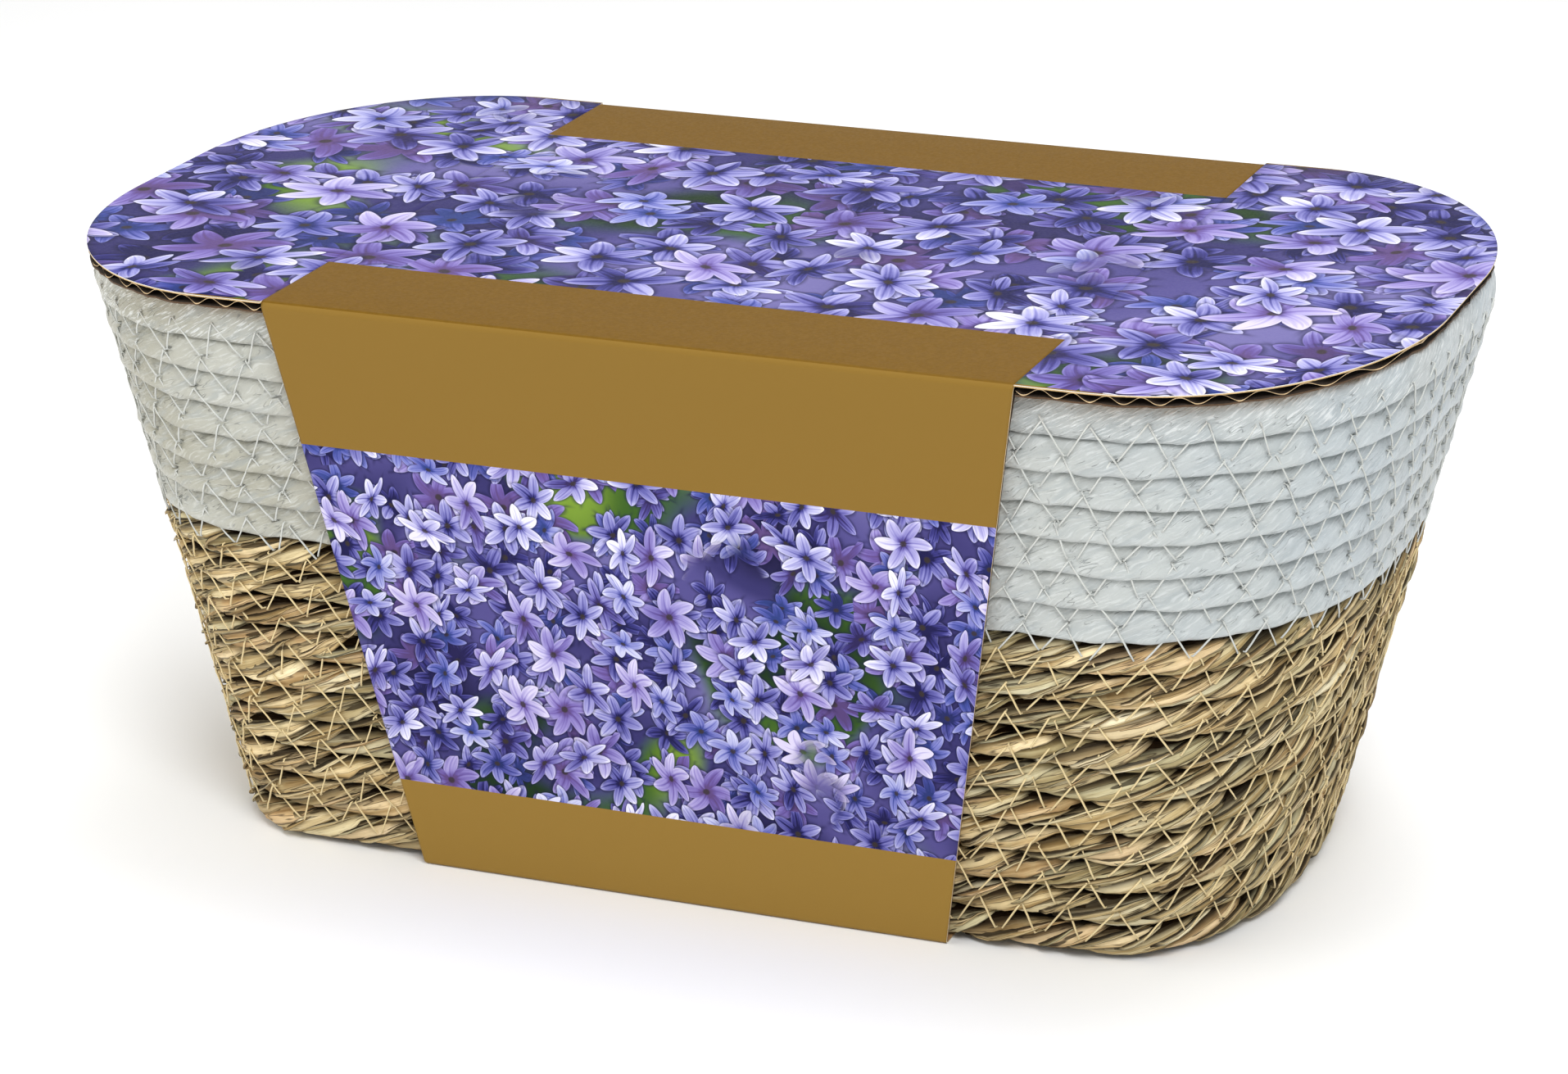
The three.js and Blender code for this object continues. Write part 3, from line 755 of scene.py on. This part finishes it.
def lid_edge(x):
    """Half depth of the lid at distance x from its middle."""
    past = np.clip((np.abs(x) - (LID_HALF_LENGTH - LID_CORNER[0])) / LID_CORNER[0], 0, 1)
    return LID_HALF_DEPTH - LID_CORNER[1] + LID_CORNER[1] * np.sqrt(1 - past**2)


def fillet(corner, before, after, radius, steps):
    """Arc that rounds a corner, between two unit directions."""
    turn = math.acos(float(np.clip(np.dot(before, after), -1, 1)))
    reach = radius * math.tan(turn / 2)
    start, end = corner - before * reach, corner + after * reach
    inward = (after - before) / np.linalg.norm(after - before)
    centre = corner + inward * radius / math.cos(turn / 2)
    t = np.linspace(0, 1, steps)[:, None]
    a, b = start - centre, end - centre
    return centre + (np.sin((1 - t) * turn) * a + np.sin(t * turn) * b) / math.sin(turn)


# Steps along the top, the fold, the panel, the foot's fold and the strip
SECTION_STEPS = (8, 9, 20, 6, 8)


def half_section(top, panel, strip):
    """The front half of the card's section, at a depth below its outer face in each part: (y, z) points."""
    counts = SECTION_STEPS
    fold = np.array([-LID_HALF_DEPTH + WALL_SLOPE * top + panel * SLANT, HEIGHT - top])
    foot = np.array([-PANEL_FOOT_Y - WALL_SLOPE * strip + panel * SLANT, strip])
    down = (foot - fold) / np.linalg.norm(foot - fold)
    front, inward = np.array([-1.0, 0.0]), np.array([1.0, 0.0])
    upper = fillet(fold, front, down, max(FOLD_RADIUS - panel, 0.35), counts[1])
    lower = fillet(foot, down, inward, max(FOOT_FOLD_RADIUS - strip, 0.2), counts[3])

    def line(a, b, n):
        return a + (b - a) * np.linspace(0, 1, n)[1:-1, None]

    start, end = np.array([0.0, HEIGHT - top]), np.array([0.0, strip])
    return np.concatenate([
        start[None], line(start, upper[0], counts[0]), upper, line(upper[-1], lower[0], counts[2]),
        lower, line(lower[-1], end, counts[4]), end[None],
    ])


# Places across the belt of card from edge to edge, close together where its sides are crushed
CRUSHED = 0.034
HALF_BELT = np.concatenate([np.linspace(0, 1 - CRUSHED, 6), 1 - CRUSHED * np.array([0.75, 0.5, 0.25, 0])])
BELT = np.concatenate([-HALF_BELT[:0:-1], HALF_BELT])


def belt_rings(outer, inner, crushed):
    """Rings of a closed belt of card between two sections, each given as depths in the top, panel and strip.
    At the panels' cut side edges the board is crushed, to the two depths in the last pair."""
    v = np.concatenate([[0], np.cumsum(np.linalg.norm(np.diff(half_section(0, 0, 0), axis=0), axis=1))])
    back = slice(-2, 0, -1)
    v = np.concatenate([-v, v[back]])
    sides = []
    for depths, thin, turn in ((outer, crushed[0], BELT), (inner, crushed[1], -BELT)):
        full, pressed = half_section(*depths), half_section(depths[0], thin, min(thin, depths[2]))
        full, pressed = (np.concatenate([s, s[back] * [-1, 1]])[:, None] for s in (full, pressed))
        z = full[..., 1]
        press = smooth(1 - CRUSHED, 1, np.abs(turn)) * smooth(HEIGHT - 1, HEIGHT - 5, z)
        yz = mix(full, pressed, press[..., None])
        x = mix(PANEL_HALF_FOOT, PANEL_HALF_TOP, np.clip(z / HEIGHT, 0, 1)) * turn
        sides.append(np.concatenate([x[..., None], yz], -1))
    return np.concatenate(sides, 1)[None], v[None, :, None]


WING_ROWS = 25


def wing_grid(z, inset, rough, seed):
    """Points of the lid's right wing at a height, from the belt out to the rounded end."""
    turn = np.linspace(0, math.pi / 2, 48)
    straight = LID_HALF_LENGTH - LID_CORNER[0]
    x = np.concatenate([np.linspace(PANEL_HALF_TOP, straight, 8)[:-1], straight + LID_CORNER[0] * np.sin(turn)])
    y = lid_edge(x) - inset
    x = np.minimum(x, LID_HALF_LENGTH - inset)
    t = np.linspace(-1, 1, WING_ROWS)[:, None]
    y = y * t - np.abs(t) ** 30 * np.sign(t) * rough * (0.5 + 0.5 * noise(x / 1.9, t * 3, seed))
    x = x - rough * 0.5 * smooth(LID_HALF_LENGTH - 12, LID_HALF_LENGTH, x) * (1 + noise(y / 2, 0.5, seed + 1))
    return np.stack([np.broadcast_to(x, y.shape), y, np.full(y.shape, z)], -1)


def mirrored(grid):
    """The same grid on the left, its columns still running towards +X."""
    return grid[:, ::-1] * [-1, 1, 1]


def plate(shape, depth_top, depth_bottom, inset, rough=0.0, seed=0):
    """Both wings of one layer of the lid, between two depths below its top."""
    grids = [wing_grid(HEIGHT - depth, inset, rough, seed) for depth in (depth_top, depth_bottom)]
    for top, bottom in (grids, [mirrored(g) for g in grids]):
        shape.slab(top, bottom, sheet_x=top[..., 0], sheet_v=top[..., 1], far=np.abs(top[..., 1]))


SHEET, OUTER_LINER, INNER_LINER, MEDIUM = 0.14, 0.38, 0.36, 0.26


def flutes(x):
    """Upper and lower face of the wavy medium at distance x along the wave: place along and depth."""
    middle, swing = (OUTER_LINER + BOARD - INNER_LINER) / 2, (BOARD - INNER_LINER - OUTER_LINER - MEDIUM) / 2
    phase = 2 * math.pi * x / FLUTE_PITCH
    slope = -swing * 2 * math.pi / FLUTE_PITCH * np.sin(phase)
    size = np.sqrt(1 + slope**2)
    wave = middle - swing * np.cos(phase)
    return [(x + s * slope * MEDIUM / 2 / size, wave - s * MEDIUM / 2 / size) for s in (1, -1)]


def card():
    printed, liner, medium, inner = Shape(), Shape(), Shape(), Shape()
    below, pressed = OUTER_LINER + 0.02, 0.56
    layers = (
        (printed, (0, 0, 0), (SHEET,) * 3, (0, SHEET), (0, SHEET, 0)),
        (liner, (SHEET,) * 3, (OUTER_LINER,) * 3, (SHEET, OUTER_LINER), (SHEET, OUTER_LINER, 0.06)),
        (inner, (BOARD - INNER_LINER,) * 2 + (below,), (BOARD, BOARD, STRIP), (below, pressed),
         (BOARD - INNER_LINER, BOARD, 0.1, 1.1, 5)),
    )
    for shape, outer_depths, inner_depths, crushed, wings in layers:
        rings, v = belt_rings(outer_depths, inner_depths, crushed)
        strips = len(BELT) - 1
        shape.tubes(rings, closed=True, outside=strips, sheet_x=rings[..., 0], sheet_v=v, far=np.abs(v))
        plate(shape, *wings)
    x = np.arange(PANEL_HALF_TOP + 0.2, LID_HALF_LENGTH - 1.2, 0.3)
    rows = np.linspace(-1, 1, 13)[:, None]
    wobble = 1 + 0.004 * noise(x / 1.7, rows * 9, 3)
    grids = []
    for at, depth in flutes(x):
        reach = (lid_edge(at) - 0.5 - 0.5 * np.abs(noise(x / 2.3, 0.5, 4))) * wobble
        y = rows * reach
        grids.append(np.stack([np.broadcast_to(at, y.shape), y, np.broadcast_to(HEIGHT - depth, y.shape)], -1))
    medium.slab(*grids)
    medium.slab(*[mirrored(g) for g in grids])
    inset = CRUSHED * PANEL_HALF_TOP + 0.2
    x = np.arange(-PANEL_HALF_TOP + inset, PANEL_HALF_TOP - inset, 0.4)
    start = np.clip((np.abs(x) + inset - PANEL_HALF_FOOT) / (PANEL_HALF_TOP - PANEL_HALF_FOOT), 0.02, 0.95)
    t = mix(start, 0.965, np.linspace(0, 1, 5)[:, None])
    grids = []
    for at, depth in flutes(x):
        z = t * HEIGHT
        y = -(LID_HALF_DEPTH - WALL_SLOPE * (HEIGHT - z)) + depth * SLANT
        grids.append(np.stack([np.broadcast_to(at, y.shape), y, z], -1))
    medium.slab(*grids)
    medium.slab(*[g[:, ::-1] * [-1, -1, 1] for g in grids])
    nodes = ["card_wrap"]
    printed.make("card_print_sheet", print_material(), "printed_card", nodes)
    # Painted shade: faces inside the board, round the flutes, take a dark brown instead of the kraft's own
    # colour, and so does the inner liner's cut edge, which lies back in shade.
    hollow_shade = rgb(46, 32, 18)
    looks = (
        (liner, "card_outer_liner", (rgb(214, 180, 126), hollow_shade, hollow_shade), 0.0),
        (medium, "card_fluted_medium", (rgb(216, 186, 142), hollow_shade, hollow_shade), 0.0),
        (inner, "card_inner_liner", (rgb(84, 60, 36), hollow_shade, rgb(172, 132, 86)), 0.3),
    )
    for shape, name, tones, washboard in looks:
        shape.make(name, kraft_material(name, *tones, washboard), "printed_card", nodes)


def kraft_material(name, cut, outer, inner, washboard):
    """Brown board: its cut edge, the side towards the print and the side towards the basket."""
    net = Net(name)
    place = net.place()
    x, y, z = net.split(place)
    fibre = net.noise(net.combine(x * 0.5, y * 0.08, z * 0.5), 3.0, detail=4, rough=0.65)
    fleck = net.noise(place, 2.2)
    tone = net.blend(net.attribute("outside"), inner, outer)
    tone = net.blend(net.attribute("cut"), tone, cut)
    colour = net.blend(net.map(fibre, 0.35, 0.65) * 0.5, tone, (0.62, 0.6, 0.56), "MULTIPLY")
    colour = net.blend(net.map(fleck, 0.62, 0.7) * 0.4, colour, (0.5, 0.46, 0.4), "MULTIPLY")
    wave = net.math("SINE", x * (2 * math.pi / FLUTE_PITCH)) * washboard
    return net.finish(colour, net.map(fibre, 0.3, 0.7, 0.72, 0.9), fibre + wave, 0.12, Sheen_Weight=0.05)


# Print: flat bronze bands and a made-up field of small six-petalled flowers


def flower_group():
    """Node group: one layer of scattered flowers. Gives its cover, its shade from dark to light and its tint."""
    group = bpy.data.node_groups.new("flower_layer", "ShaderNodeTree")
    for name, kind in (("Place", "Vector"), ("Spacing", "Float"), ("Share", "Float")):
        group.interface.new_socket(name, in_out="INPUT", socket_type=f"NodeSocket{kind}")
    for name in ("Cover", "Shadow", "Shade", "Tint", "Eye"):
        group.interface.new_socket(name, in_out="OUTPUT", socket_type="NodeSocketFloat")
    net = Net.__new__(Net)
    net.tree = group
    inputs = net.node("NodeGroupInput")
    place, spacing, share = (net.out(inputs, k) for k in range(3))
    size = net.combine(spacing, spacing, 1.0)
    scaled = net.vector("DIVIDE", place, size)
    cell = net.node(
        "ShaderNodeTexVoronoi", {"Vector": scaled, "Scale": 1.0, "Randomness": 0.42}, voronoi_dimensions="2D"
    )
    away = net.vector("MULTIPLY", net.vector("SUBTRACT", scaled, net.out(cell, "Position")), size)
    r1, r2, r3 = net.split(net.out(cell, "Color"))
    turned = net.out(net.node(
        "ShaderNodeVectorRotate", {"Vector": away, "Angle": r1 * 6.283}, rotation_type="Z_AXIS"
    ))
    x, y, _ = net.split(turned)
    y = y / (r2 * 0.45 + 0.55)
    reach = r3 * 0.12 + 0.34
    radius = net.math("SQRT", x * x + y * y) / reach
    part = (net.math("ARCTAN2", y, x) + radius * (r3 - 0.5) * 1.1) / (math.pi / 3) + r2 * 5 + 6
    petal = net.math("FLOOR", part + 0.5)
    local = (part - petal) * (math.pi / 3)
    along = radius * net.math("COSINE", local)
    across = radius * net.math("SINE", local)
    lot = net.lot(petal + r1 * 50)
    across = across + (lot - 0.5) * along * along * 0.3
    inside = net.math("MAXIMUM", along * (lot * -0.12 + 1.0 - along), 0.0)
    width = net.math("POWER", inside, 0.62) * (lot * 0.12 + 0.5)
    gap = width - net.math("ABSOLUTE", across)
    edge = net.math("ABSOLUTE", across) / net.math("MAXIMUM", width, 0.01)
    present = net.math("LESS_THAN", r2 * 0.7 + r1 * 0.3, share)
    cover = net.map(gap, 0.0, 0.025) * present
    shadow = net.map(gap, -0.14, 0.06) * net.map(along, 1.25, 0.9) * present
    veins = net.noise(net.combine(along * 1.3, across * 14.0, petal + r1 * 30), detail=3)
    lit = net.math("COSINE", local + (petal * (math.pi / 3)) + r1 * 6.283)
    shade = along * 0.4 + (veins - 0.5) * 0.6 + (lot - 0.5) * 0.4 + lit * 0.12
    shade = shade + net.map(edge, 0.7, 0.98) * 0.14 - net.map(edge, 0.22, 0.0) * 0.2
    shade = shade + net.map(along, 0.72, 0.9) * 0.12 - net.map(along, 0.32, 0.08) * 0.3
    eye = net.map(radius, 0.13, 0.07)
    output = net.node("NodeGroupOutput")
    for key, value in enumerate((cover, shadow, shade, r3, eye * present)):
        net.put(output.inputs[key], value)
    return group


# Where the print changes, measured along the card from the middle of the lid
LID_BAND_FROM, FOLD_FROM, PICTURE_FROM, PICTURE_TO = 53.8, 83.3, 114.1, 190.7
LID_FLOWERS, PANEL_FLOWERS = 34.0, 16.5


def print_material():
    net = Net("print")
    x, v, far = (net.attribute(k) for k in ("sheet_x", "sheet_v", "far"))
    wide = net.math("ABSOLUTE", x)
    on_panel = net.math("GREATER_THAN", far, FOLD_FROM)
    scale = net.map(far, LID_HALF_DEPTH, LID_HALF_DEPTH + 0.1, LID_FLOWERS, PANEL_FLOWERS, smoothly=False)
    place = net.combine(x / scale, v / scale)
    group = flower_group()
    haze = net.noise(place, 0.42, detail=1.0, key="Color")
    h1, h2, h3 = net.split(haze)
    back = net.ramp(h1, [
        (0.3, rgb(26, 22, 62)), (0.45, rgb(50, 46, 98)), (0.55, rgb(78, 72, 130)), (0.68, rgb(108, 102, 156)),
    ], True)
    green = net.ramp(h3, [(0.35, rgb(22, 46, 20)), (0.5, rgb(54, 88, 28)), (0.65, rgb(112, 142, 48))], True)
    leaves = net.map(h2, 0.53, 0.6)
    colour = net.blend(leaves, back, green)
    crowd = net.noise(net.vector("ADD", place, (7.3, 2.9, 0)), 0.5, detail=1.0)
    tones = [
        (0.0, rgb(24, 22, 70)), (0.2, rgb(54, 52, 120)), (0.38, rgb(96, 94, 162)), (0.56, rgb(136, 134, 192)),
        (0.74, rgb(170, 168, 212)), (0.9, rgb(200, 198, 228)), (1.0, rgb(224, 222, 242)),
    ]
    layers = (
        (0.0, 0.0, 0.7, 1.0, -0.24), (2.31, 4.77, 0.78, 1.0, -0.12), (3.37, 1.71, 0.88, 1.0, -0.02),
        (6.91, 7.13, 0.98, 0.95, 0.08), (8.13, 5.39, 1.1, 0.85, 0.18), (5.71, 9.23, 1.25, 0.7, 0.3),
    )
    for number, (dx, dv, spacing, share, lift) in enumerate(layers):
        node = net.node("ShaderNodeGroup")
        node.node_tree = group
        net.put(node.inputs[0], net.vector("ADD", place, (dx, dv, 0)))
        net.put(node.inputs[1], spacing)
        net.put(node.inputs[2], share)
        cover, shadow, shade, tint, eye = (net.out(node, k) for k in range(5))
        here = net.map(crowd, 0.27 + 0.012 * number, 0.31 + 0.018 * number)
        if number < 2:
            here = net.math("MAXIMUM", here, 1 - leaves)
        # Painted light: the flowers on the panel are lighter than those on the lid, to make up for the upright
        # panel catching less light.
        value = shade + lift + 0.2 + (h1 - 0.5) * 0.5 + on_panel * 0.1
        petals = net.ramp(value, tones)
        petals = net.blend(net.map(tint, 0.6, 0.95) * 0.28, petals, rgb(156, 118, 188))
        petals = net.blend(net.map(tint, 0.3, 0.05) * 0.3, petals, rgb(70, 98, 182))
        petals = net.blend(eye * 0.85, petals, rgb(52, 44, 34))
        colour = net.blend(shadow * here * 0.8, colour, rgb(14, 12, 52))
        colour = net.blend(cover * here, colour, petals)
    on_belt = net.math("LESS_THAN", wide, PANEL_HALF_TOP)
    lid_band = net.math("GREATER_THAN", far, LID_BAND_FROM) * (1 - on_panel) * on_belt
    above, below = net.math("LESS_THAN", far, PICTURE_FROM), net.math("GREATER_THAN", far, PICTURE_TO)
    panel_band = net.math("MAXIMUM", above, below) * on_panel
    ink = net.noise(net.place(), 0.9, detail=3)
    bronze_lid = net.blend(net.map(ink, 0.35, 0.65), rgb(105, 75, 9), rgb(110, 79, 12))
    # Painted light: the panel's bands grow lighter towards the foot, to make up for less light reaching low
    # down; the ink noise is the print's own.
    bronze = net.blend(net.map(far + ink * 8, 114.0, 205.0), rgb(130, 100, 41), rgb(142, 111, 49))
    colour = net.blend(lid_band, colour, bronze_lid)
    colour = net.blend(panel_band, colour, bronze)
    colour = net.blend(net.attribute("outside"), rgb(226, 222, 212), colour)
    grain = net.noise(net.place(), 1.6, detail=3)
    return net.finish(colour, net.map(grain, 0.3, 0.7, 0.44, 0.54), grain, 0.01, Specular_IOR_Level=0.1)


# Stage, light and camera


# In metres; the floor lies just clear of the strip's underside
FLOOR, FLOOR_HALF = -0.00005, 6.0


def stage():
    net = Net("pale_floor")
    cloud = net.noise(net.place(), 0.004)
    colour = net.blend(net.map(cloud, 0.3, 0.7), rgb(250, 250, 250), rgb(246, 246, 246))
    material = net.finish(colour, 0.7)
    mesh = bpy.data.meshes.new("floor")
    corners = [(x * FLOOR_HALF, y * FLOOR_HALF, FLOOR) for x, y in ((-1, -1), (1, -1), (1, 1), (-1, 1))]
    mesh.from_pydata(corners, [], [(0, 1, 2, 3)])
    mesh.materials.append(material)
    link("floor", mesh)
    world = bpy.data.worlds.new("studio")
    bpy.context.scene.world = world
    world.use_nodes = True
    background = world.node_tree.nodes["Background"].inputs
    background["Color"].default_value = (1, 1, 1, 1)
    background["Strength"].default_value = 0.62
    lights = (
        ("key", (0.5, -0.8, 1.0), 0.5, 10.0, (0.95, 0.975, 1)),
        ("fill", (-0.9, -0.6, 0.5), 0.8, 4.5, (1, 0.965, 0.87)),
        ("top", (0.1, 0.3, 1.2), 0.8, 7.5, (1, 1, 1)),
    )
    for name, place, size, power, tint in lights:
        light = bpy.data.lights.new(name, "AREA")
        light.size, light.energy, light.color = size, power, tint
        lamp = link(name, light)
        lamp.location = place
        lamp.rotation_euler = (Vector((0, 0, 0.06)) - Vector(place)).to_track_quat("-Z", "Y").to_euler()
    bpy.context.scene.view_settings.view_transform = "Standard"


def camera():
    """The photograph's viewpoint: 21.8 degrees round to the right and 19.5 degrees above the horizon."""
    yaw, pitch, roll = math.radians(21.78), math.radians(19.53), math.radians(-0.53)
    aim, distance = Vector((-10.50, 23.10, 49.60)) * MM, 1.019
    focal_pixels, image_width = 5734.7, 1914
    back = Vector((math.sin(yaw) * math.cos(pitch), -math.cos(yaw) * math.cos(pitch), math.sin(pitch)))
    data = bpy.data.cameras.new("camera")
    data.sensor_width = 36
    data.lens = focal_pixels / image_width * data.sensor_width
    data.clip_start, data.clip_end = 0.05, 20
    eye = link("camera", data)
    right = (-back).cross(Vector((0, 0, 1))).normalized()
    up = right.cross(-back)
    across = right * math.cos(roll) + up * math.sin(roll)
    above = up * math.cos(roll) - right * math.sin(roll)
    turn = Matrix((across, above, back)).transposed().to_4x4()
    eye.matrix_world = Matrix.Translation(aim + back * distance) @ turn
    bpy.context.scene.camera = eye


def contents():
    """Bulbs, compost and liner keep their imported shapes."""
    looks = {"planting_liner": film_material(), "compost_bed": compost_material()}
    looks.update(dict.fromkeys(("bulb_left", "bulb_middle", "bulb_right"), tunic_material()))
    for name, material in looks.items():
        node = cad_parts[name]
        node.data.materials.clear()
        node.data.materials.append(material)


def film_material():
    net = Net("black_film")
    crease = net.noise(net.place(), 0.08, detail=5, rough=0.6)
    colour = net.blend(net.map(crease, 0.4, 0.7), rgb(26, 27, 26), rgb(44, 45, 43))
    return net.finish(colour, net.map(crease, 0.3, 0.7, 0.25, 0.45), crease, 0.8)


def compost_material():
    net = Net("compost_crumb")
    crumb = net.noise(net.place(), 0.35, detail=6, rough=0.7)
    colour = net.ramp(crumb, [(0.3, rgb(22, 15, 10)), (0.5, rgb(52, 36, 25)), (0.62, rgb(88, 62, 42)),
                              (0.75, rgb(132, 100, 68))])
    return net.finish(colour, 0.95, crumb, 2.0)


def tunic_material():
    net = Net("bulb_skin")
    x, y, z = net.split(net.place())
    skin = net.noise(net.combine(x * 0.35, y * 0.35, z * 0.04), detail=5, rough=0.6)
    colour = net.ramp(skin, [(0.3, rgb(78, 36, 62)), (0.5, rgb(124, 70, 100)), (0.62, rgb(160, 112, 120)),
                             (0.75, rgb(196, 164, 140))])
    return net.finish(colour, net.map(skin, 0.3, 0.7, 0.35, 0.6), skin, 0.5)


camera()
stage()
card()
white_rope()
natural_rope()
sewing()
contents()
